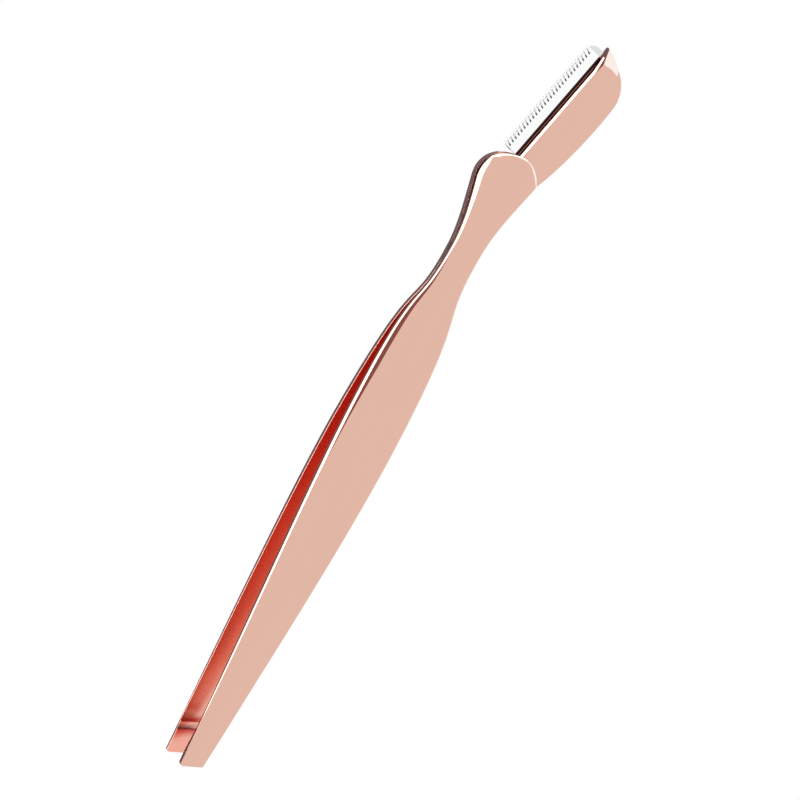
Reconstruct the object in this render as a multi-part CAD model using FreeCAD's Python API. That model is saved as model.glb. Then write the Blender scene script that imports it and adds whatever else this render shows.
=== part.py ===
import FreeCAD, Part
import math
import os

# Eyebrow tool: two spring-steel tweezer arms that close at their slanted tips, with a guarded
# razor head clamped between the arms at the other end.
# X runs from the tips to the razor, Y to the blade side, Z up through the front arm.
# All heights are worked out from the plane between the two arms and lifted at the end.

# Arms, from the side
arm_thickness = 1.0
arm_edge_radius = 0.35
tang_thickness = 1.05
neck_gap = 0.1
head_flat_end_x = -2.0
neck_start_x = -16.0
taper_bend_radius = 20.0
flex_x = -18.1
root_bend_radius = 36.0
root_bend_angle = 3.93
bow_radius = 1140.0
grip_length = 3.2
grip_gap = 0.04

# Arms, from above
waist_x = -12.1
waist_half_width = 2.45
blade_side_waist_reach = 3.8
spine_side_waist_reach = 5.5
waist_reach_to_belly = 12.5
belly_x = -41.6
belly_blade_side = 5.03
belly_spine_side = 4.8
blade_side_belly_reach = 25.5
spine_side_belly_reach = 22.8
belly_reach_to_tip = 13.2
tip_x = -100.3
tip_blade_side = 2.0
tip_spine_side = 1.5
tip_slant = 1.3
tip_reach = 25.0
blade_side_tip_flare = 1.38
spine_side_tip_flare = 1.84
tip_corner_radius = 0.5
nose_x = 4.65
nose_y = -0.9
nose_radius = 4.17
top_radius = 6.0
head_blade_side = 4.79
head_spine_side = 4.93
head_reach = 5.0
head_rise = 1.25
blade_side_corner_radius = 4.0
spine_side_corner_radius = 0.4

# Razor holder: its own u axis leans from X towards the spine, v points to the blade side
holder_angle = -13.3
holder_thickness = 2.5
holder_root_u = 0.0
holder_wall_v = 1.2
holder_tip_u = 25.83
end_facet_u = 25.1
end_facet_v = -0.78
heel_u = 22.8
heel_v = -5.57
heel_radius = 5.4
spine_mid_u = 14.3
spine_mid_v = -6.0
spine_root_u = 2.3
spine_root_v = -5.2
holder_edge_radius = 0.6
seam_gap = 0.06
tang_inset = 0.8
tang_end_x = -11.5

# Blade
blade_thickness = 0.25
blade_start_u = 4.3
blade_end_u = 24.8
blade_back_v = -2.7
blade_edge_v = 3.7
blade_edge_land = 0.03
grind_start_v = 2.5
blade_end_radius = 1.5
blade_end_wall = 0.8
blade_gap = 0.02

# Guard comb folded over the cutting edge
guard_sheet = 0.1
guard_start_u = 4.4
guard_end_u = 23.85
guard_root_v = 0.5
guard_edge_v = 3.9
slot_count = 28
first_slot_gap = 0.38
last_slot_gap = 0.76
slot_width = 0.25
slot_root_v = 2.85
slot_slant = 13.0

# Pins
blade_pin_radius = 0.6
blade_pin_length = 1.6
blade_pin_v = -1.0
first_blade_pin_u = 9.2
second_blade_pin_u = 19.4
dowel_radius = 0.8
dowel_length = 2.0
first_dowel_x = 0.9
second_dowel_x = -5.0
pin_gap = 0.02
dowel_gap = 0.1

# Cutters run past what they cut by this much
overrun = 1.0

# Places nearer to each other than this are the same
tolerance = 0.001

# Worked-out places
tang_half = tang_thickness / 2
neck_half = neck_gap / 2
holder_half = holder_thickness / 2
blade_half = blade_thickness / 2
mid_height = tang_half + arm_thickness
taper_fall = tang_half - neck_half - 2 * taper_bend_radius
taper_run = head_flat_end_x - neck_start_x
taper_angle = math.acos(-2 * taper_bend_radius / math.hypot(taper_fall, taper_run)) - math.atan2(
    taper_run, taper_fall)
bend = math.radians(root_bend_angle)
bend_end_x = flex_x - root_bend_radius * math.sin(bend)
bend_end_z = neck_half + root_bend_radius * (1 - math.cos(bend))
bow_centre_x = bend_end_x - bow_radius * math.sin(bend)
bow_centre_z = bend_end_z - bow_radius * math.cos(bend)
block_top = bow_centre_z + bow_radius + arm_thickness + overrun
block_half_width = belly_blade_side + head_blade_side


def at(x, y, z=0.0):
    return FreeCAD.Vector(x, y, z)


def line(start, end):
    return Part.LineSegment(start, end).toShape()


def bezier(*poles):
    curve = Part.BezierCurve()
    curve.setPoles(list(poles))
    return curve.toShape()


def filled(edges):
    return Part.Face(Part.Wire(Part.__sortEdges__(edges)))


def polygon(points):
    return Part.Face(Part.makePolygon(points + points[:1]))


def raised(face, low, high):
    """The solid that a flat face sweeps between two heights."""
    solid = face.extrude(at(0, 0, high - low))
    solid.translate(at(0, 0, low))
    return solid


def across(face, half_width):
    """The solid that a face in the XZ plane sweeps to both sides."""
    solid = face.extrude(at(0, 2 * half_width))
    solid.translate(at(0, -half_width))
    return solid


def in_holder(shape):
    """Turn a shape from the holder's own u and v axes into place."""
    return shape.rotate(at(0, 0), at(0, 0, 1), holder_angle)


def upright_edges(solid, place):
    """Edges along Z that stand at a given place."""
    return [
        edge for edge in solid.Edges
        if all(math.hypot(v.X - place.x, v.Y - place.y) < tolerance for v in edge.Vertexes)
    ]


def rim_edges(solid):
    """Edges round the upward faces, without the lines between two upward faces."""
    steepest = math.cos(math.radians(45))
    upward = [f for f in solid.Faces if f.normalAt(*f.Surface.parameter(f.CenterOfMass)).z > steepest]
    edges = [edge for face in upward for edge in face.Edges]
    return [e for e in edges if sum(e.isSame(other) for other in edges) == 1]


def mirrored(solid):
    """The back piece is the front one turned over in the plane between the arms."""
    return solid.mirror(at(0, 0), at(0, 0, 1))


# Arms

def side_outline(side, gap, corner, tip):
    """Long edge of an arm from its tip over belly and waist to the head's corner."""
    if side > 0:
        belly_side, tip_flare = belly_blade_side, blade_side_tip_flare
        belly_reach, waist_reach = blade_side_belly_reach, blade_side_waist_reach
    else:
        belly_side, tip_flare = belly_spine_side, spine_side_tip_flare
        belly_reach, waist_reach = spine_side_belly_reach, spine_side_waist_reach
    waist = at(waist_x, side * (waist_half_width + gap))
    belly = at(belly_x, side * (belly_side + gap))
    return [
        bezier(
            tip,
            tip + at(tip_reach, side * tip_flare),
            belly - at(belly_reach_to_tip, 0),
            belly,
        ),
        bezier(
            belly,
            belly + at(belly_reach, 0),
            waist - at(waist_reach_to_belly, 0),
            waist,
        ),
        bezier(
            waist,
            waist + at(waist_reach, 0),
            corner - at(head_reach, side * head_rise),
            corner,
        ),
    ]


def front_arc(radius, side_y, gap):
    """Arc of the head's front, from the nose to its corner at a height across the arm."""
    centre = at(nose_x - radius, nose_y)
    reach = radius + gap
    turn = math.asin((side_y - nose_y) / reach)
    points = [centre + at(reach * math.cos(part), reach * math.sin(part)) for part in (0, turn / 2, turn)]
    return points[-1], Part.Arc(*points).toShape()


def arm_outline(gap):
    """Arm from above as a tall block with rounded corners, its walls moved out by a gap."""
    blade_corner, blade_arc = front_arc(top_radius, head_blade_side + gap, gap)
    spine_corner, spine_arc = front_arc(nose_radius, -head_spine_side - gap, gap)
    blade_tip = at(tip_x, tip_blade_side + gap)
    spine_tip = at(tip_x + tip_slant, -tip_spine_side - gap)
    edges = side_outline(1, gap, blade_corner, blade_tip)
    edges += [blade_arc, spine_arc]
    edges += side_outline(-1, gap, spine_corner, spine_tip)
    edges.append(line(blade_tip, spine_tip))
    block = raised(filled(edges), -block_top, block_top)
    for corner, radius in (
        (blade_corner, blade_side_corner_radius),
        (spine_corner, spine_side_corner_radius),
        (blade_tip, tip_corner_radius),
        (spine_tip, tip_corner_radius),
    ):
        if radius + gap > 0:
            block = block.makeFillet(radius + gap, upright_edges(block, corner))
    return block


def bend_arc(centre_x, centre_z, radius, start, end):
    """Arc in the XZ plane, with its angles turned from straight up towards the razor."""
    points = [
        at(centre_x + radius * math.sin(turn), 0, centre_z + radius * math.cos(turn))
        for turn in (start, (start + end) / 2, end)
    ]
    return points, Part.Arc(*points).toShape()


def strip_edges(lift):
    """One face of the bent strip, lifted off the inner face by part of its thickness."""
    start = at(nose_x + overrun, 0, tang_half + lift)
    taper, taper_arc = bend_arc(
        head_flat_end_x, tang_half - taper_bend_radius, taper_bend_radius + lift, 0, -taper_angle)
    neck, neck_arc = bend_arc(
        neck_start_x, neck_half + taper_bend_radius, lift - taper_bend_radius, -taper_angle, 0)
    root, root_arc = bend_arc(
        flex_x, neck_half + root_bend_radius, lift - root_bend_radius, 0, bend)
    tip_turn = math.asin((tip_x - overrun - bow_centre_x) / (bow_radius + lift))
    bow, bow_arc = bend_arc(bow_centre_x, bow_centre_z, bow_radius + lift, bend, tip_turn)
    edges = [
        line(start, taper[0]),
        taper_arc,
        line(taper[2], neck[0]),
        neck_arc,
        line(neck[2], root[0]),
        root_arc,
        bow_arc,
    ]
    return start, bow[2], edges


def grip_start():
    """Where the flat grip begins on the inner face, and the angle that closes the arm."""
    x = tip_x + grip_length
    place = at(x, 0, bow_centre_z + math.sqrt(bow_radius ** 2 - (x - bow_centre_x) ** 2))
    closing = math.atan2(place.z - grip_gap / 2, flex_x - place.x)
    return place, closing


def grip_cut():
    """What is ground off the inner face so that the closed tips meet flat."""
    place, closing = grip_start()
    end_x = tip_x - overrun
    end = at(end_x, 0, place.z + (place.x - end_x) * math.tan(closing))
    return across(polygon([place, end, at(end_x, 0), at(place.x, 0)]), block_half_width)


def dowel_places():
    return [at(first_dowel_x, 0), at(second_dowel_x, 0)]


def front_arm():
    """One strip with a rounded outer rim: flat head, tapered neck, root bend, long bow, slanted tip."""
    inner_start, inner_end, inner = strip_edges(0.0)
    outer_start, outer_end, outer = strip_edges(arm_thickness)
    ends = [line(inner_start, outer_start), line(inner_end, outer_end)]
    arm = across(filled(inner + outer + ends), block_half_width).common(arm_outline(0.0))
    arm = arm.cut(grip_cut())
    for place in dowel_places():
        arm = arm.cut(Part.makeCylinder(dowel_radius + dowel_gap, dowel_length / 2 + dowel_gap, place))
    strip = arm.Solids[0]
    return strip.makeFillet(arm_edge_radius, rim_edges(strip))


# Razor holder

def holder_outline():
    """Blade wall, short end facet, raked end, heel and bowed spine."""
    tip = at(holder_tip_u, holder_wall_v)
    facet = at(end_facet_u, end_facet_v)
    heel = at(heel_u, heel_v)
    root = at(spine_root_u, spine_root_v)
    inner_root = at(holder_root_u, 0)
    inner_wall = at(holder_root_u, holder_wall_v)
    edges = [
        line(inner_wall, tip),
        line(tip, facet),
        line(facet, heel),
        Part.Arc(heel, at(spine_mid_u, spine_mid_v), root).toShape(),
        line(root, inner_root),
        line(inner_root, inner_wall),
    ]
    block = raised(filled(edges), 0.0, holder_half)
    block = block.makeFillet(heel_radius, upright_edges(block, heel))
    rim = [e for e in rim_edges(block) if e.CenterOfMass.x > spine_root_u]
    return in_holder(block.makeFillet(holder_edge_radius, rim))


def tang():
    """Wedge between the arms' heads, set in from their edges."""
    start, end, under_arm = strip_edges(0.0)
    foot = [at(end.x, 0), at(start.x, 0)]
    under_arm += [line(end, foot[0]), line(foot[0], foot[1]), line(foot[1], start)]
    wedge = across(filled(under_arm), block_half_width).common(arm_outline(-tang_inset))
    return wedge.common(head_block(0.0, block_top))


def head_block(low, high):
    """Block that holds the head end of the arms between two heights."""
    return raised(polygon([
        at(tang_end_x, -block_half_width),
        at(nose_x + overrun, -block_half_width),
        at(nose_x + overrun, block_half_width),
        at(tang_end_x, block_half_width),
    ]), low, high)


def blade_outline(gap, edge_v):
    """Blade from its back to a given v, its end raked like the holder's, moved out by a gap."""
    rake = (end_facet_u - heel_u) / (end_facet_v - heel_v)
    back_end_u = end_facet_u - rake * (end_facet_v - blade_back_v) - blade_end_wall
    return [
        at(blade_start_u - gap, blade_back_v - gap),
        at(back_end_u + gap, blade_back_v - gap),
        at(blade_end_u + gap, end_facet_v - gap),
        at(blade_end_u + gap, edge_v),
        at(blade_start_u - gap, edge_v),
    ]


def blade_seat():
    """Shallow pocket for the blade, stepped for the comb's legs."""
    seat_half = blade_half + blade_gap
    legs_half = seat_half + guard_sheet
    seat = raised(polygon(blade_outline(blade_gap, holder_wall_v + overrun)), -overrun, seat_half)
    legs = raised(polygon([
        at(guard_start_u - blade_gap, guard_root_v - blade_gap),
        at(guard_end_u + blade_gap, guard_root_v - blade_gap),
        at(guard_end_u + blade_gap, holder_wall_v + overrun),
        at(guard_start_u - blade_gap, holder_wall_v + overrun),
    ]), -overrun, legs_half)
    return in_holder(seat.fuse(legs))


def blade_pin_places():
    return [at(first_blade_pin_u, blade_pin_v), at(second_blade_pin_u, blade_pin_v)]


def front_holder_half():
    """Half of the holder with its half of the tang, blade pocket and pin holes."""
    arm_room = arm_outline(seam_gap).common(head_block(tang_half, block_top))
    half = holder_outline().cut(arm_room)
    half = half.fuse(tang()).removeSplitter()
    half = half.cut(blade_seat())
    for place in blade_pin_places():
        hole = Part.makeCylinder(blade_pin_radius + pin_gap, blade_pin_length / 2 + pin_gap, place)
        half = half.cut(in_holder(hole))
    for place in dowel_places():
        half = half.cut(Part.makeCylinder(dowel_radius + pin_gap, holder_thickness, place))
    return half


# Blade and comb

def blade():
    """Thin blade with a ground edge, a rounded outer corner and two locating holes."""
    outer = at(blade_end_u, blade_edge_v)
    sheet = raised(polygon(blade_outline(0.0, blade_edge_v)), -blade_half, blade_half)
    sheet = sheet.makeFillet(blade_end_radius, upright_edges(sheet, outer))
    for side in (1, -1):
        wedge = Part.Face(Part.makePolygon([
            at(0, grind_start_v, side * blade_half),
            at(0, blade_edge_v, side * blade_edge_land / 2),
            at(0, blade_edge_v + overrun, side * blade_edge_land / 2),
            at(0, blade_edge_v + overrun, side * (blade_half + overrun)),
            at(0, grind_start_v, side * (blade_half + overrun)),
            at(0, grind_start_v, side * blade_half),
        ]))
        sheet = sheet.cut(wedge.extrude(at(blade_end_u + overrun, 0)))
    for place in blade_pin_places():
        hole = Part.makeCylinder(
            blade_pin_radius + pin_gap, blade_thickness + overrun, place - at(0, 0, overrun))
        sheet = sheet.cut(hole)
    return in_holder(sheet)


def guard_fold(reach, half):
    """Folded section: two flat legs joined by a round fold at a given reach."""
    bend_v = reach - half
    edges = [
        line(at(0, guard_root_v, -half), at(0, bend_v, -half)),
        Part.Arc(at(0, bend_v, -half), at(0, reach), at(0, bend_v, half)).toShape(),
        line(at(0, bend_v, half), at(0, guard_root_v, half)),
        line(at(0, guard_root_v, half), at(0, guard_root_v, -half)),
    ]
    return filled(edges)


def guard_comb():
    """Sheet folded over the cutting edge and slotted across the fold."""
    inner_half = blade_half + blade_gap / 2
    outer_half = inner_half + guard_sheet
    length = at(guard_end_u - guard_start_u, 0)
    comb = guard_fold(guard_edge_v, outer_half).extrude(length)
    comb = comb.cut(guard_fold(guard_edge_v - guard_sheet, inner_half).extrude(length))
    comb.translate(at(guard_start_u, 0))
    slotted = guard_end_u - guard_start_u - first_slot_gap - last_slot_gap
    lean = (guard_edge_v + overrun - slot_root_v) * math.tan(math.radians(slot_slant))
    slots = []
    for number in range(slot_count):
        root_u = guard_start_u + first_slot_gap + number * slotted / (slot_count - 1)
        slots.append(raised(polygon([
            at(root_u - slot_width / 2, slot_root_v),
            at(root_u + slot_width / 2, slot_root_v),
            at(root_u + slot_width / 2 + lean, guard_edge_v + overrun),
            at(root_u - slot_width / 2 + lean, guard_edge_v + overrun),
        ]), -blade_thickness, blade_thickness))
    return in_holder(comb.cut(Part.makeCompound(slots)))


# Pins

def blade_pins():
    """Two short pins that locate the blade between the holder halves."""
    foot = at(0, 0, -blade_pin_length / 2)
    pins = [Part.makeCylinder(blade_pin_radius, blade_pin_length, p + foot) for p in blade_pin_places()]
    return in_holder(Part.makeCompound(pins))


def tang_dowels():
    """Two dowels through the tang that sit in blind holes in the arms' heads."""
    foot = at(0, 0, -dowel_length / 2)
    return Part.makeCompound(
        [Part.makeCylinder(dowel_radius, dowel_length, p + foot) for p in dowel_places()])


arm_solid = front_arm()
holder_solid = front_holder_half()
pieces = {
    "front_arm": arm_solid,
    "back_arm": mirrored(arm_solid),
    "front_holder_half": holder_solid,
    "back_holder_half": mirrored(holder_solid),
    "razor_blade": blade(),
    "guard_comb": guard_comb(),
    "blade_pins": blade_pins(),
    "tang_dowels": tang_dowels(),
}
os.makedirs("parts", exist_ok=True)
for name, piece in pieces.items():
    piece.translate(at(0, 0, mid_height))
    piece.exportStep(f"parts/{name}.step")
print("closing angle of each arm", round(math.degrees(grip_start()[1]), 3))
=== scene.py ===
import math
import bpy
import bmesh
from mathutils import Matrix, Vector


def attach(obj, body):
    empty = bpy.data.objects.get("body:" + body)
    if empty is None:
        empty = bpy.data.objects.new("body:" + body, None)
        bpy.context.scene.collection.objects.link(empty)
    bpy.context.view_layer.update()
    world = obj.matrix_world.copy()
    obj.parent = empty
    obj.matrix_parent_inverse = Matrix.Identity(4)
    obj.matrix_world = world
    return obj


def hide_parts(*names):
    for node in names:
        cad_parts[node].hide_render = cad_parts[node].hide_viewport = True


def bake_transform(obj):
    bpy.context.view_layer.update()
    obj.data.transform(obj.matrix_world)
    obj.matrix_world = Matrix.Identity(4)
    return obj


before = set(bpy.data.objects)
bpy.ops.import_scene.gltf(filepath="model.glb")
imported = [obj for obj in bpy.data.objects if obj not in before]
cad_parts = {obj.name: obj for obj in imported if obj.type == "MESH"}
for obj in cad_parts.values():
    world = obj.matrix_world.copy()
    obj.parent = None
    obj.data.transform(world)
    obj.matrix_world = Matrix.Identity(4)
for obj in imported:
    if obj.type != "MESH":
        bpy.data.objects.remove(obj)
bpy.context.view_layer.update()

bpy.context.scene.view_settings.view_transform = "Standard"

# Razor blade: a strip of hardened stainless steel, ground to an edge along its left side.
# It lies in a shallow pocket between the holder halves, and a band of painted shade darkens it
# where it shows in the slots of the comb.
mm = 0.001
holder_turn = math.radians(-13.3)
comb_end = 23.8 * mm


def line_marks_group():
    """Fine parallel marks that grinding or rolling leaves, as a mask from 0 to 1."""
    group = bpy.data.node_groups.new("line_marks", "ShaderNodeTree")
    group.interface.new_socket("Place", in_out="INPUT", socket_type="NodeSocketVector")
    group.interface.new_socket("Density", in_out="INPUT", socket_type="NodeSocketFloat")
    group.interface.new_socket("Marks", in_out="OUTPUT", socket_type="NodeSocketFloat")
    nodes, links = group.nodes, group.links
    start = nodes.new("NodeGroupInput")
    end = nodes.new("NodeGroupOutput")
    noise = nodes.new("ShaderNodeTexNoise")
    noise.inputs["Detail"].default_value = 3
    links.new(start.outputs["Place"], noise.inputs["Vector"])
    links.new(start.outputs["Density"], noise.inputs["Scale"])
    links.new(noise.outputs["Fac"], end.inputs["Marks"])
    return group


line_marks = line_marks_group()


def marked_metal(name, light_tone, dark_tone, roughness, stretch, density):
    """Bare or plated metal whose tone and gloss change a little along its working marks."""
    material = bpy.data.materials.new(name)
    material.use_nodes = True
    nodes, links = material.node_tree.nodes, material.node_tree.links
    shader = nodes["Principled BSDF"]
    shader.inputs["Metallic"].default_value = 1.0
    place = nodes.new("ShaderNodeTexCoord")
    along = nodes.new("ShaderNodeMapping")
    along.inputs["Scale"].default_value = stretch
    links.new(place.outputs["Object"], along.inputs["Vector"])
    marks = nodes.new("ShaderNodeGroup")
    marks.node_tree = line_marks
    marks.inputs["Density"].default_value = density
    links.new(along.outputs["Vector"], marks.inputs["Place"])
    tone = nodes.new("ShaderNodeMix")
    tone.data_type = "RGBA"
    tone.inputs["A"].default_value = (*dark_tone, 1)
    tone.inputs["B"].default_value = (*light_tone, 1)
    links.new(marks.outputs["Marks"], tone.inputs["Factor"])
    links.new(tone.outputs["Result"], shader.inputs["Base Color"])
    gloss = nodes.new("ShaderNodeMapRange")
    gloss.inputs["To Min"].default_value = roughness[0]
    gloss.inputs["To Max"].default_value = roughness[1]
    links.new(marks.outputs["Marks"], gloss.inputs["Value"])
    links.new(gloss.outputs["Result"], shader.inputs["Roughness"])
    return material


def painted_shade_band(material, tone, low, high, soft_edge=0.04 * mm, soft_end=0.1 * mm):
    """Paint shade into a band between two lines along the blade's own length axis, up to the comb's
    end.
    """
    nodes, links = material.node_tree.nodes, material.node_tree.links
    shader = nodes["Principled BSDF"]
    place = nodes.new("ShaderNodeTexCoord")
    own_axes = nodes.new("ShaderNodeMapping")
    own_axes.inputs["Rotation"].default_value = (0, 0, -holder_turn)
    links.new(place.outputs["Object"], own_axes.inputs["Vector"])
    split = nodes.new("ShaderNodeSeparateXYZ")
    links.new(own_axes.outputs["Vector"], split.inputs["Vector"])
    dark = nodes.new("ShaderNodeMix")
    dark.data_type = "RGBA"
    dark.inputs["B"].default_value = (*tone, 1)
    links.new(shader.inputs["Base Color"].links[0].from_socket, dark.inputs["A"])
    links.new(dark.outputs["Result"], shader.inputs["Base Color"])
    limits = (
        ("Y", low - soft_edge, low),
        ("Y", high + soft_edge, high),
        ("X", comb_end + soft_end, comb_end),
    )
    strength = dark.inputs["Factor"]
    for axis, outside, inside in limits:
        limit = nodes.new("ShaderNodeMapRange")
        limit.inputs["From Min"].default_value = outside
        limit.inputs["From Max"].default_value = inside
        links.new(split.outputs[axis], limit.inputs["Value"])
        links.new(limit.outputs["Result"], strength)
        strength = limit.inputs["To Max"]


def finish_node(node, material):
    """Give a CAD node's mesh its one material."""
    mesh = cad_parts[node].data
    mesh.materials.clear()
    mesh.materials.append(material)


blade_steel = marked_metal(
    "blade_steel", light_tone=(0.8, 0.82, 0.81), dark_tone=(0.72, 0.74, 0.73),
    roughness=(0.06, 0.14), stretch=(1, 0.1, 1), density=2000)
# Painted shade: the blade shows dark in the comb's slots
painted_shade_band(blade_steel, tone=(0.12, 0.12, 0.12), low=2.4 * mm, high=3.2 * mm)
finish_node("razor_blade", blade_steel)

# Guard comb: thin rolled stainless sheet folded over the cutting edge and slotted across the fold.
# Its two legs are pinched between blade and holder, and painted shade darkens the gap at the joint
# there.
comb_steel = marked_metal(
    "comb_steel", light_tone=(1, 1, 1), dark_tone=(0.98, 0.98, 0.98),
    roughness=(0.05, 0.12), stretch=(0.1, 1, 1), density=2500)
# Painted shade in the gap where the comb's legs meet the holder wall
painted_shade_band(comb_steel, tone=(0.035, 0.02, 0.018), low=0.98 * mm, high=1.4 * mm)
finish_node("guard_comb", comb_steel)

# Blade pins and tang dowels: short turned steel pins, hidden inside the closed holder.
# Two pins locate the blade between the halves, and two dowels hold the tang in the arms' heads.
pin_steel = marked_metal(
    "pin_steel", light_tone=(0.66, 0.66, 0.67), dark_tone=(0.55, 0.55, 0.56),
    roughness=(0.2, 0.35), stretch=(1, 1, 0.1), density=3000)
finish_node("blade_pins", pin_steel)
finish_node("tang_dowels", pin_steel)

# Holder halves: two pressed and plated steel shells that meet round the blade.
# The wall by the blade ends in a chamfer, and the end by the tip falls away in a wide facet.
# A tang runs back from each shell between the heads of the arms, set in on the front half only.
rose_gold = marked_metal(
    "rose_gold", light_tone=(0.793, 0.492, 0.393), dark_tone=(0.775, 0.476, 0.38),
    roughness=(0.04, 0.08), stretch=(0.1, 1, 1), density=400)
arm_thickness = 1.0 * mm
tang_half = 0.525 * mm
mid_height = tang_half + arm_thickness
parting_gap = 0.01 * mm


def sharp_knot(*place):
    """A knot without handles, where two straight lines meet."""
    return place, (0, 0), (0, 0)


# Closed lines round a shell's foot, rim, chamfer and face, in its own axes in millimetres:
# place over the plane between the halves, handle back, handle on
shell_lines = (
    (
        sharp_knot(4.5, 0.9, 0),
        sharp_knot(21.5, 0.9, 0),
        sharp_knot(25.83, 1.2, 0),
        sharp_knot(25.1, -0.78, 0),
        ((24.14, -2.78, 0), (0, 0), (-0.85, -1.76)),
        ((19.61, -5.75, 0), (1.95, 0.12), (-5.78, -0.36)),
        ((2.96, -4.53, 0), (3.5, -0.9), (0, 0)),
        ((2.96, -4.15, 0), (0, 0), (1.43, 0.95)),
        ((4.72, 0.23, 0), (-0.41, -1.69), (0.06, 0.24)),
    ),
    (
        sharp_knot(4.53, 0.83, 0.95),
        sharp_knot(21.5, 0.83, 0.95),
        sharp_knot(25.72, 1.12, 0.45),
        sharp_knot(25.06, -0.8, 0.6),
        ((24.1, -2.76, 0.75), (0, 0), (-0.85, -1.76)),
        ((19.6, -5.72, 0.85), (1.95, 0.12), (-5.78, -0.36)),
        ((2.96, -4.51, 0.95), (3.5, -0.9), (0, 0)),
        ((2.96, -4.15, 1.2), (0, 0), (1.43, 0.95)),
        ((4.72, 0.23, 1.2), (-0.41, -1.69), (0.06, 0.24)),
    ),
    (
        sharp_knot(4.56, 0.53, 1.22),
        sharp_knot(21.5, 0.53, 1.22),
        sharp_knot(25.55, 1.05, 0.68),
        sharp_knot(24.92, -0.85, 0.78),
        ((24, -2.8, 0.92), (0, 0), (-0.8, -1.66)),
        ((19.5, -5.6, 1.15), (1.9, 0.11), (-5.7, -0.35)),
        ((2.98, -4.43, 1.2), (3.45, -0.88), (0, 0)),
        ((2.98, -4.12, 1.23), (0, 0), (1.42, 0.94)),
        ((4.73, 0.23, 1.23), (-0.41, -1.68), (0.04, 0.15)),
    ),
    (
        sharp_knot(4.57, 0.48, 1.25),
        sharp_knot(21, 0.48, 1.25),
        sharp_knot(23.3, 0.42, 1.25),
        sharp_knot(23.6, -1.2, 1.25),
        ((23.4, -3.2, 1.25), (0, 0), (-0.7, -1.45)),
        ((19.4, -5.35, 1.25), (1.85, 0.1), (-5.6, -0.34)),
        ((3, -4.3, 1.25), (3.4, -0.85), (0, 0)),
        ((3, -4.1, 1.25), (0, 0), (1.4, 0.92)),
        ((4.74, 0.22, 1.25), (-0.41, -1.65), (0.04, 0.12)),
    ),
)
set_in_tang = (
    ((-11.5, 1.65, 0), (0, 0), (3.2, 0)),
    ((-0.9, 3.6, 0), (-4, -1), (1.2, 0.3)),
    ((2.2, 2.9, 0), (-0.7, 0.7), (1, -1)),
    ((4.3, 0, 0), (-0.4, 0.9), (0, 0)),
    sharp_knot(5.6, -0.8, 0),
    sharp_knot(5.6, -5, 0),
    ((1.3, -4, 0), (0.8, 0.4), (-4.8, 1.2)),
    ((-11.5, -1.65, 0), (4.5, 0), (0, 0)),
)
flush_tang = (
    ((-11.5, 2.43, 0), (0, 0), (3.2, 0.05)),
    ((-0.94, 4.38, 0), (-4.2, -1.07), (1.27, 0.32)),
    ((2.8, 3.39, 0), (-0.93, 0.9), (1.1, -1.15)),
    ((4.35, 0, 0), (-0.15, 0.9), (0, 0)),
    sharp_knot(5.6, -0.8, 0),
    sharp_knot(5.6, -5, 0),
    ((1.3, -4, 0), (0.8, 0.4), (-4.8, 1.2)),
    ((-11.5, -1.65, 0), (4.5, 0), (0, 0)),
)
tang_cuts = range(-11, -1)
neck_half = 0.05 * mm
head_flat_end = -2.0 * mm
neck_start = -16.0 * mm
root_x = -18.1 * mm
root_radius = 36.0 * mm
root_turn = math.radians(3.93)
bow_radius = 1140.0 * mm


def inner_height(x):
    """Height of an arm's inner face over the plane between the arms."""
    if x > head_flat_end:
        return tang_half
    if x > neck_start:
        part = (head_flat_end - x) / (head_flat_end - neck_start)
        return tang_half - (tang_half - neck_half) * (3 * part ** 2 - 2 * part ** 3)
    if x > root_x:
        return neck_half
    bend_end = root_x - root_radius * math.sin(root_turn)
    if x > bend_end:
        return neck_half + root_radius - math.sqrt(root_radius ** 2 - (root_x - x) ** 2)
    bend_height = neck_half + root_radius * (1 - math.cos(root_turn))
    bow_x = bend_end - bow_radius * math.sin(root_turn)
    bow_z = bend_height - bow_radius * math.cos(root_turn)
    return bow_z + math.sqrt(bow_radius ** 2 - (x - bow_x) ** 2)


def select_only(*pieces):
    """Select these pieces alone, with the last one active."""
    bpy.ops.object.select_all(action="DESELECT")
    for piece in pieces:
        piece.select_set(True)
    bpy.context.view_layer.objects.active = pieces[-1]


def drawn_line(name, knots):
    """A closed line through knots with handles, as drawn with a pen tool."""
    bpy.ops.object.select_all(action="DESELECT")
    bpy.ops.curve.primitive_bezier_curve_add()
    piece = bpy.context.object
    piece.name = name
    piece.data.resolution_u = 24
    spline = piece.data.splines[0]
    spline.bezier_points.add(len(knots) - 2)
    spline.use_cyclic_u = True
    for point, (place, back, on) in zip(spline.bezier_points, knots):
        point.handle_left_type = "FREE"
        point.handle_right_type = "FREE"
        point.co = Vector(place) * mm
        point.handle_left = point.co + Vector((*back, 0)) * mm
        point.handle_right = point.co + Vector((*on, 0)) * mm
    bpy.ops.object.convert(target="MESH")
    return piece


def drawn_face(name, knots):
    """A flat face inside a drawn line, left open for editing."""
    piece = drawn_line(name, knots)
    bpy.ops.object.mode_set(mode="EDIT")
    bpy.ops.mesh.select_all(action="SELECT")
    bpy.ops.mesh.remove_doubles(threshold=0.001 * mm)
    bpy.ops.mesh.edge_face_add()
    return piece


def cut_across(place, direction):
    """Cut the sheet that is open for editing along a plane."""
    bpy.ops.mesh.select_all(action="SELECT")
    bpy.ops.mesh.bisect(plane_co=place, plane_no=direction)


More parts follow.
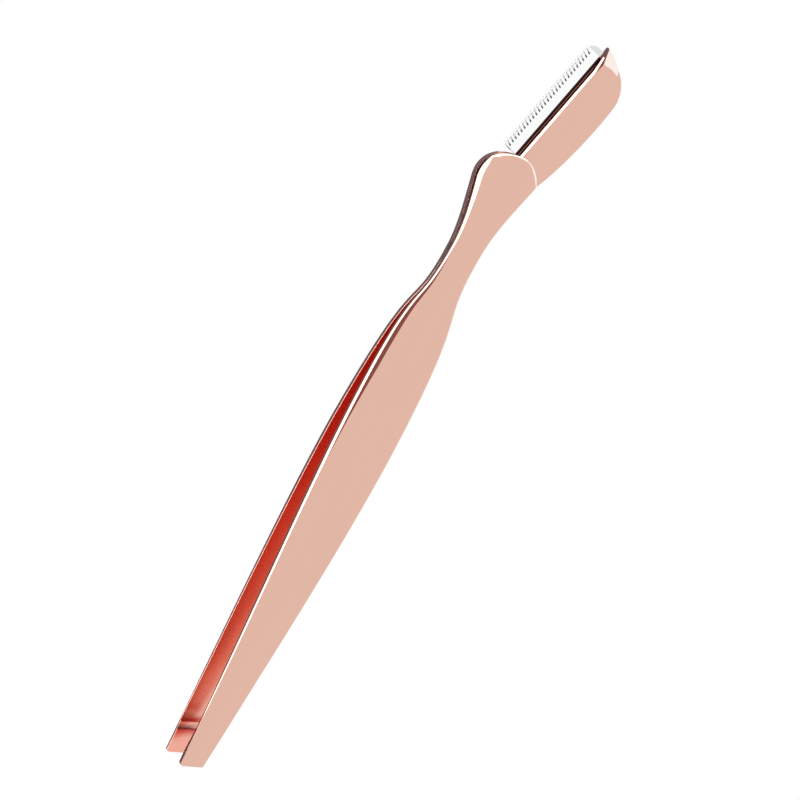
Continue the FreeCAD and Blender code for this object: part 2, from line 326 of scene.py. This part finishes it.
def loft(name, lines):
    """A closed body through lines drawn one over the other, each with as many knots."""
    wires = [drawn_line(name, knots) for knots in lines]
    work = bmesh.new()
    ring = work.verts.layers.int.new("ring")
    levels = []
    for level, wire in enumerate(wires):
        levels.append([work.verts.new(vertex.co) for vertex in wire.data.vertices])
        for vertex in levels[-1]:
            vertex[ring] = level
    for low, high in zip(levels, levels[1:]):
        for index in range(len(low)):
            work.faces.new((low[index - 1], low[index], high[index], high[index - 1]))
    work.faces.new(levels[0])
    work.faces.new(levels[-1])
    bmesh.ops.recalc_face_normals(work, faces=work.faces)
    work.to_mesh(wires[0].data)
    for wire in wires[1:]:
        bpy.data.objects.remove(wire)
    return wires[0]


# Rings of points in from the rim of a plate, and a width in millimetres too thin to be seen
rim_ring = 1
chamfer_ring = 2
facet_ring = 3
hairline = 0.002


def neighbours(vertex):
    """The far ends of a point's edges."""
    return [edge.other_vert(vertex) for edge in vertex.link_edges]


def inward(edge):
    """Direction from a rim edge to the inside of its sheet."""
    loop = edge.link_loops[0]
    along = (loop.link_loop_next.vert.co - loop.vert.co).normalized()
    return Vector((-along.y, along.x, 0)) * math.copysign(1, loop.face.normal.z)


def ringed_sheet(piece):
    """Inset the drawn sheet twice by a hairline and number its rings of points."""
    bpy.ops.mesh.select_all(action="SELECT")
    bpy.ops.mesh.inset(thickness=hairline * mm)
    bpy.ops.mesh.inset(thickness=hairline * mm)
    work = bmesh.from_edit_mesh(piece.data)
    work.verts.layers.int.new("ring")
    work.verts.layers.int.new("underside")
    ring = work.verts.layers.int["ring"]
    for vertex in work.verts:
        if vertex.is_boundary:
            vertex[ring] = rim_ring
    for level in (rim_ring, chamfer_ring):
        for vertex in [vertex for vertex in work.verts if vertex[ring] == level]:
            for edge in vertex.link_edges:
                inner = edge.other_vert(vertex)
                if len(edge.link_faces) == 2 and inner[ring] == 0:
                    inner[ring] = level + 1
    return work


def chamfered_plate(piece, height, rim_of, under_of):
    """Lower the drawn sheet's rim by a rule, and extrude the sheet down to a closed plate.

    The first rule gives, for a place on the rim, the chamfer's width and fall, and the same for
    the softer facet between chamfer and face. The second gives the width of the lower chamfer.
    """
    work = ringed_sheet(piece)
    ring = work.verts.layers.int["ring"]
    for vertex in [vertex for vertex in work.verts if vertex[ring] == rim_ring]:
        edges = [edge for edge in vertex.link_edges if edge.is_boundary]
        step_in = (inward(edges[0]) + inward(edges[1])).normalized() * mm
        rules = [rim_of((edge.verts[0].co + edge.verts[1].co) / 2 / mm) for edge in edges]
        width, fall, soft, soft_fall = ((one + two) / 2 for one, two in zip(*rules))
        chamfer = next(other for other in neighbours(vertex) if other[ring] == chamfer_ring)
        facet = next(other for other in neighbours(chamfer) if other[ring] == facet_ring)
        chamfer.co = vertex.co + step_in * width
        facet.co = vertex.co + step_in * (width + soft)
        chamfer.co.z = -soft_fall * mm
        vertex.co.z = -(soft_fall + fall) * mm
    bpy.ops.mesh.select_all(action="SELECT")
    bpy.ops.mesh.extrude_region_move(TRANSFORM_OT_translate={"value": (0, 0, -2 * height)})
    work = bmesh.from_edit_mesh(piece.data)
    ring = work.verts.layers.int["ring"]
    underside = work.verts.layers.int["underside"]
    for vertex in work.verts:
        if vertex.select:
            vertex.co.z = 0
            vertex[underside] = 1
        else:
            vertex.co.z += height
    for vertex in work.verts:
        if vertex[underside] and vertex[ring] == rim_ring:
            under = under_of(vertex.co / mm) * mm
            inner = next(
                other for other in neighbours(vertex)
                if other[ring] == chamfer_ring and other[underside])
            step = inner.co - vertex.co
            step.z = 0
            inner.co = vertex.co + step.normalized() * under
            vertex.co.z = under
    bpy.ops.mesh.select_all(action="SELECT")
    bpy.ops.mesh.normals_make_consistent(inside=False)
    bpy.ops.object.mode_set(mode="OBJECT")


def smooth_metal(piece):
    """Smooth curved walls and soft facets, with the lines of each chamfer left crisp."""
    select_only(piece)
    bpy.ops.object.shade_smooth_by_angle(angle=math.radians(30))
    rings = [value.value for value in piece.data.attributes["ring"].data]
    for edge in piece.data.edges:
        first, second = (rings[index] for index in edge.vertices)
        if first == second and first > 0:
            edge.use_edge_sharp = True
    flat = piece.modifiers.new("flat faces", "WEIGHTED_NORMAL")
    flat.keep_sharp = True
    bpy.ops.object.modifier_apply(modifier=flat.name)


def turn_over(piece):
    """Mirror a piece in the plane between the arms."""
    for vertex in piece.data.vertices:
        vertex.co.z = 2 * mid_height - vertex.co.z
    piece.data.flip_normals()


def shell(name, tang_knots):
    """One holder half: the shell itself with its tang joined to it."""
    body = loft(name, shell_lines)
    select_only(body)
    body.rotation_euler.z = holder_turn
    bpy.ops.object.transform_apply(location=False, rotation=True, scale=False)
    tang = drawn_face("tang", tang_knots)
    for step in tang_cuts:
        cut_across((step * mm, 0, 0), (1, 0, 0))
    sharp_rim = (hairline, hairline, hairline, hairline / 2)
    chamfered_plate(tang, tang_half, lambda place: sharp_rim, lambda place: hairline)
    for vertex in tang.data.vertices:
        if vertex.co.z > tang_half / 2:
            vertex.co.z += inner_height(vertex.co.x) - tang_half - 2 * parting_gap
    select_only(tang, body)
    bpy.ops.object.join()
    for vertex in body.data.vertices:
        vertex.co.z += mid_height + parting_gap
    body.data.materials.clear()
    body.data.materials.append(rose_gold)
    return body


front_shell = shell("front_shell", set_in_tang)
back_shell = shell("back_shell", flush_tang)
turn_over(back_shell)
for piece, node in ((front_shell, "front_holder_half"), (back_shell, "back_holder_half")):
    smooth_metal(piece)
    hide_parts(node)
    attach(piece, "razor_head")

# Arms: spring-steel strips, stamped to one outline, bent at the neck and bowed, then polished and
# rose-gold plated. The outer rim is chamfered on the blade side, the inner faces lean open a little
# toward the tip, and the tips are ground flat where they grip.
# Painted light on the arms' inner faces: a deeper red standing in for light bounced between the arms,
# red bands of painted reflection at the grip, and painted shade on the step between them
painted_inner_light = {
    "painted_inner_bounce": {"tone": (0.9, 0.42, 0.33), "roughness": 0.2},
    "painted_band_reflection": {"tone": (0.62, 0.07, 0.045), "roughness": 0.25},
    "painted_step_shade": {"tone": (0.13, 0.05, 0.05), "roughness": 0.25},
}


def marked_finish(material, mark, tone, roughness):
    """Own tone and softer gloss where an attribute of the mesh marks a face."""
    nodes, links = material.node_tree.nodes, material.node_tree.links
    shader = nodes["Principled BSDF"]
    inside = nodes.new("ShaderNodeAttribute")
    inside.attribute_name = mark
    for socket, kind, value in (("Base Color", "RGBA", (*tone, 1)), ("Roughness", "FLOAT", roughness)):
        mix = nodes.new("ShaderNodeMix")
        mix.data_type = kind
        mix.inputs["B"].default_value = value
        links.new(inside.outputs["Fac"], mix.inputs["Factor"])
        links.new(shader.inputs[socket].links[0].from_socket, mix.inputs["A"])
        links.new(mix.outputs["Result"], shader.inputs[socket])


for mark, finish in painted_inner_light.items():
    marked_finish(rose_gold, mark, **finish)

# Knots of an arm's outline, from the tip's blade-side corner over belly and waist to the shoulder,
# then from the nose to the spine side and back to the tip; the front arm's shoulder is squarer
blade_side_knots = (
    ((-99.72, 2.03, 0), (-0.16, -0.01), (24.69, 1.37)),
    ((-41.6, 5.03, 0), (-13.08, 0), (25.5, 0)),
    ((-12.1, 2.45, 0), (-12.5, 0), (3.41, 0)),
)
front_shoulder = (
    ((-0.94, 4.38, 0), (-4.29, -1.085), (1.2, 0.26)),
    ((2.3, 4.14, 0), (-0.7, 0.08), (0.2, -0.03)),
    ((2.72, 3.92, 0), (-0.1, 0.14), (0.95, -1.1)),
)
back_shoulder = (
    ((-0.94, 4.41, 0), (-4.29, -1.085), (1.27, 0.32)),
    ((2.825, 3.41, 0), (-0.94, 0.91), (1.17, -1.13)),
)
spine_side_knots = (
    ((4.6, -0.9, 0), (0, 1.75), (0, -1.74)),
    ((1.75, -4.83, 0), (1.6, 0.63), (-0.1, -0.04)),
    ((1.5, -4.88, 0), (0.1, -0.02), (-4.81, 1.23)),
    ((-12.1, -2.45, 0), (5.38, 0), (-12.5, 0)),
    ((-41.6, -4.8, 0), (22.8, 0), (-13.14, 0)),
    ((-98.73, -1.52, 0), (24.84, -1.83), (-0.11, 0.01)),
    ((-99.06, -1.31, 0), (0.04, -0.11), (0, 0)),
    ((-100.06, 1.56, 0), (0, 0), (-0.05, 0.16)),
)
lean_open = math.radians(3.2)
lean_line = -1.5 * mm
tip_end = Vector((-99.6, 0.135, 0)) * mm
from_tip = Vector((0.937, 0.35, 0))
grip_start = 3.8 * mm
grip_slope = math.radians(2.0)
# Cuts in millimetres: across the strip, along the tip's slant from the tip's end, and the number of
# cuts along the wide faces; the outline's points are thinned from the tip's corners to the head
straight_cuts = range(-92, 1)
slanted_cuts = (1.2, 2.5, 3.1, 3.5, 3.75, 3.8, 3.95, 4.0, 4.7, 4.9, 5.0, 5.5, 6.1)
lengthwise_cuts = 9
tip_corners_end = -98.4
# By distance from the tip's end: depth of the inner face behind the grip, strength of the red bands
# of painted reflection there, and of the painted shade along the step between them
grip_relief = ((2.5, 0), (3.1, 0.02), (3.5, 0.05), (3.8, 0.07), (3.95, 0.2), (5, 0.2), (14, 0))
painted_band_reflections = (
    (2.5, 0), (3.1, 0.4), (3.5, 0.8), (3.8, 0.9), (3.95, 0), (4.9, 0), (5, 0.9), (5.5, 0.8), (6.1, 0))
# Painted shade: a dark line along the step where the grip facet starts
painted_step_shade = ((3.75, 0), (3.8, 1), (3.95, 1), (4, 0))
# Rims in millimetres: where the seam round the nose begins on either side, where the chamfer of the
# blade side stops at the tip, width and fall of narrow facets, and fall or width as a share
seam_blade_side = 2.35
seam_spine_side = 1.8
chamfer_end = -98
seam_facet = (0.03, 0.008)
thin_facet = (0.02, 0.005)
facet_fall_share = 0.4
worn_width_share = 0.4


def between(x, places):
    """Straight-line value between neighbouring (place, value) pairs in millimetres."""
    for (left, low), (right, high) in zip(places, places[1:]):
        if x <= right:
            return low + (high - low) * max(0, (x - left) / (right - left))
    return places[-1][1]


def front_rim(place):
    """Front arm: chamfer wide at the shoulder, thin at the neck and gone at the tip, with a soft
    facet beside it between waist and belly."""
    if place.x > (seam_blade_side if place.y > 0 else seam_spine_side):
        chamfer = between(place.y, (
            (-4.8, 0.12), (-4.4, 0.3), (-3.4, 0.3), (-2.2, 0.16), (0.5, 0.12), (2.4, 0.16), (3.2, 0.32),
            (3.9, 0.2)))
        slope = between(place.y, ((-4.8, 0.3), (-3, 0.42), (-1, 0.55), (2, 0.7), (3.2, 1)))
        return chamfer, chamfer * slope, *seam_facet
    if place.y > 0 and place.x > chamfer_end:
        chamfer = between(place.x, (
            (-93, 0.02), (-90, 0.09), (-80, 0.15), (-45, 0.27), (-34, 0.25), (-22, 0.17), (-14, 0.165),
            (-6, 0.32), (-1, 0.54), (1.2, 0.45), (2.3, 0.2)))
        slope = between(place.x, ((-14, 1), (-5, 1.35)))
        soft = between(place.x, (
            (-50, 0.04), (-44, 0.2), (-38, 0.4), (-33, 0.6), (-27, 0.62), (-22, 0.45), (-13, 0.04)))
        return chamfer, chamfer * slope, soft, facet_fall_share * soft
    side = between(place.x, ((-95, 0.005), (-85, 0.15)))
    return side, side, *thin_facet


def front_under(place):
    """Front arm: lower chamfer, wide at the tip and gone between the heads."""
    return between(place.x, (
        (-97, 0.5), (-92, 0.35), (-85, 0.2), (-70, 0.05), (-60, 0.03), (-20, 0.03), (-14, hairline)))


def back_rim(place):
    """Back arm: its outer rim is worn round toward the tip, which leaves a low wall there."""
    fall = between(place.x, ((-95, 0.35), (-70, 0.25), (-45, 0.12)))
    return worn_width_share * fall, fall, *thin_facet


def back_under(place):
    """Back arm: lower chamfer, even along the strip and gone between the heads."""
    return between(place.x, ((-20, 0.03), (-14, hairline)))


def arm_sheet(name, shoulder):
    """The flat outline of an arm, cut across, with no points on its sides but those of the cuts."""
    piece = drawn_face(name, blade_side_knots + shoulder + spine_side_knots)
    for step in straight_cuts:
        cut_across((step * mm, 0, 0), (1, 0, 0))
    for step in slanted_cuts:
        cut_across(tip_end + from_tip * step * mm, from_tip)
    work = bmesh.from_edit_mesh(piece.data)
    for vertex in work.verts:
        vertex.select = tip_corners_end < vertex.co.x / mm < 0 and len(vertex.link_edges) == 2
    work.select_flush_mode()
    bpy.ops.mesh.dissolve_verts()
    return piece


def cut_lengthwise(piece):
    """Cut the two wide faces of a strip lengthwise, so that they can lean."""
    bpy.ops.object.mode_set(mode="EDIT")
    work = bmesh.from_edit_mesh(piece.data)
    ring = work.verts.layers.int["ring"]
    for edge in work.edges:
        points = [vertex for face in edge.link_faces for vertex in face.verts]
        edge.select = all(vertex[ring] in (0, facet_ring) for vertex in points)
    bpy.ops.mesh.subdivide(number_cuts=lengthwise_cuts)
    bpy.ops.object.mode_set(mode="OBJECT")


def arm_strip(name, shoulder, rim_of, under_of):
    """One arm, bent and bowed, in the front arm's place, with its inner face shaped and given painted
    reflection and shade.
    """
    piece = arm_sheet(name, shoulder)
    chamfered_plate(piece, arm_thickness, rim_of, under_of)
    cut_lengthwise(piece)
    for mark in painted_inner_light:
        piece.data.attributes.new(mark, "FLOAT", "POINT")
    inside, bands, step_shade_strength = (piece.data.attributes[mark].data for mark in painted_inner_light)
    rings = [value.value for value in piece.data.attributes["ring"].data]
    underside = [value.value for value in piece.data.attributes["underside"].data]
    for vertex in piece.data.vertices:
        place = vertex.co.x / mm
        if underside[vertex.index]:
            from_end = (vertex.co - tip_end).dot(from_tip)
            share = between(place, ((-92, 1), (-80, 0.6), (-65, 0.2), (-55, 0)))
            share *= between(from_end / mm, ((5, 0), (5.5, 1)))
            vertex.co.z += share * math.tan(lean_open) * max(0, vertex.co.y - lean_line)
            vertex.co.z += between(from_end / mm, grip_relief) * mm
            vertex.co.z += math.tan(grip_slope) * max(0, grip_start - from_end)
            # Painted light on the inner face: a deeper red for light bounced between the arms, red
            # bands of painted reflection at the grip and painted shade along its step
            if rings[vertex.index] != rim_ring:
                inside[vertex.index].value = between(place, ((-20, 1), (-14, 0)))
                bands[vertex.index].value = between(from_end / mm, painted_band_reflections)
                step_shade_strength[vertex.index].value = between(from_end / mm, painted_step_shade)
        vertex.co.z += mid_height + inner_height(vertex.co.x)
    piece.data.materials.append(rose_gold)
    return piece


front_strip = arm_strip("front_strip", front_shoulder, front_rim, front_under)
back_strip = arm_strip("back_strip", back_shoulder, back_rim, back_under)
turn_over(back_strip)
for piece, body in ((front_strip, "front_arm"), (back_strip, "back_arm")):
    smooth_metal(piece)
    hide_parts(body)
    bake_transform(piece)

# Floor: a plain white paper sheet that lies well below the tool, too wide for its edge to show.
# Camera and polished metal both see it at an even white.
floor_drop = -250 * mm
floor_width = 6


def plain_sheet(name, colour, glow):
    """Matt sheet that camera, mirror and glass see at an even level."""
    material = bpy.data.materials.new(name)
    material.use_nodes = True
    nodes, links = material.node_tree.nodes, material.node_tree.links
    matt = nodes["Principled BSDF"]
    matt.inputs["Base Color"].default_value = (*colour, 1)
    matt.inputs["Roughness"].default_value = 1.0
    shine = nodes.new("ShaderNodeEmission")
    shine.inputs["Color"].default_value = (*glow, 1)
    ray = nodes.new("ShaderNodeLightPath")
    seen = ray.outputs["Is Camera Ray"]
    for kind in ("Is Glossy Ray", "Is Transmission Ray"):
        either = nodes.new("ShaderNodeMath")
        either.operation = "MAXIMUM"
        links.new(seen, either.inputs[0])
        links.new(ray.outputs[kind], either.inputs[1])
        seen = either.outputs["Value"]
    both = nodes.new("ShaderNodeMixShader")
    links.new(seen, both.inputs["Fac"])
    links.new(matt.outputs["BSDF"], both.inputs[1])
    links.new(shine.outputs["Emission"], both.inputs[2])
    links.new(both.outputs["Shader"], nodes["Material Output"].inputs["Surface"])
    return material


bpy.ops.object.select_all(action="DESELECT")
bpy.ops.mesh.primitive_plane_add(size=floor_width, location=(0, 0, floor_drop))
floor = bpy.context.object
floor.name = "floor"
floor.data.materials.append(plain_sheet("white_paper", colour=(0.9, 0.9, 0.9), glow=(1, 1, 1)))

# Studio: an even pale surround and three soft lights, a large one on the blade side, a cool one
# beyond the holder's end and one ahead of the heads. Two dark cards, one below the blade side and
# one overhead, draw the dark walls and edge lines of polished metal.
surround_level = 0.97
world = bpy.data.worlds.new("pale_surround")
world.use_nodes = True
world.node_tree.nodes["Background"].inputs["Color"].default_value = (1, 1, 1, 1)
world.node_tree.nodes["Background"].inputs["Strength"].default_value = surround_level
bpy.context.scene.world = world


def studio_card(name, tone, corners):
    """Dark flat card near the tool, out of the camera's sight."""
    bpy.ops.object.select_all(action="DESELECT")
    bpy.ops.mesh.primitive_plane_add(size=1)
    card = bpy.context.object
    card.name = name
    for vertex, corner in zip(card.data.vertices, corners):
        vertex.co = corner
    card.data.materials.append(plain_sheet(name + "_paper", colour=tone, glow=tone))
    card.visible_camera = False
    card.visible_shadow = False
    card.visible_diffuse = False


studio_card("low_card", tone=(0.19, 0.185, 0.23), corners=(
    (-0.8, -0.05, -0.24), (0.8, -0.05, -0.24), (-0.8, 0.78, -0.05), (0.8, 0.78, -0.05)))
studio_card("camera_card", tone=(0.3, 0.15, 0.155), corners=(
    (-0.8, 0.09, 0.8), (0.8, 0.09, 0.8), (-0.8, 0.65, 0.5), (0.8, 0.65, 0.5)))


def soft_light(name, place, size, level, colour=(1, 1, 1)):
    """Even rectangular light that faces the tool; its level is that of its bright face."""
    bpy.ops.object.light_add(type="AREA", location=place)
    lamp = bpy.context.object
    lamp.name = name
    lamp.data.shape = "RECTANGLE"
    lamp.data.size, lamp.data.size_y = size
    lamp.data.energy = level * math.pi * size[0] * size[1]
    lamp.data.color = colour
    lamp.rotation_euler = Vector(place).to_track_quat("Z", "Y").to_euler()


soft_light("blade_side_light", place=(0, 0.654, 0.2), size=(1.6, 0.47), level=2.4)
soft_light("end_light", place=(0.46, -0.61, 0.6), size=(1.15, 0.72), level=1.1, colour=(0.25, 0.72, 1))
soft_light("head_light", place=(0.75, 0, 0.3), size=(1.0, 0.6), level=2.2)

# Camera: a long lens on the blade side, high over the tool, turned so that the tool lies across
# the frame. Light is followed over many mirror bounces, for the narrow gap between the arms.
bpy.ops.object.camera_add(
    location=(-0.01411, 0.24585, 0.52387),
    rotation=(math.radians(-14.717), math.radians(-21.1), math.radians(-58.976)))
camera = bpy.context.object
camera.data.lens = 172.5
camera.data.sensor_width = 36
camera.data.clip_start = 0.01
bpy.context.scene.camera = camera
bpy.context.scene.cycles.glossy_bounces = 12
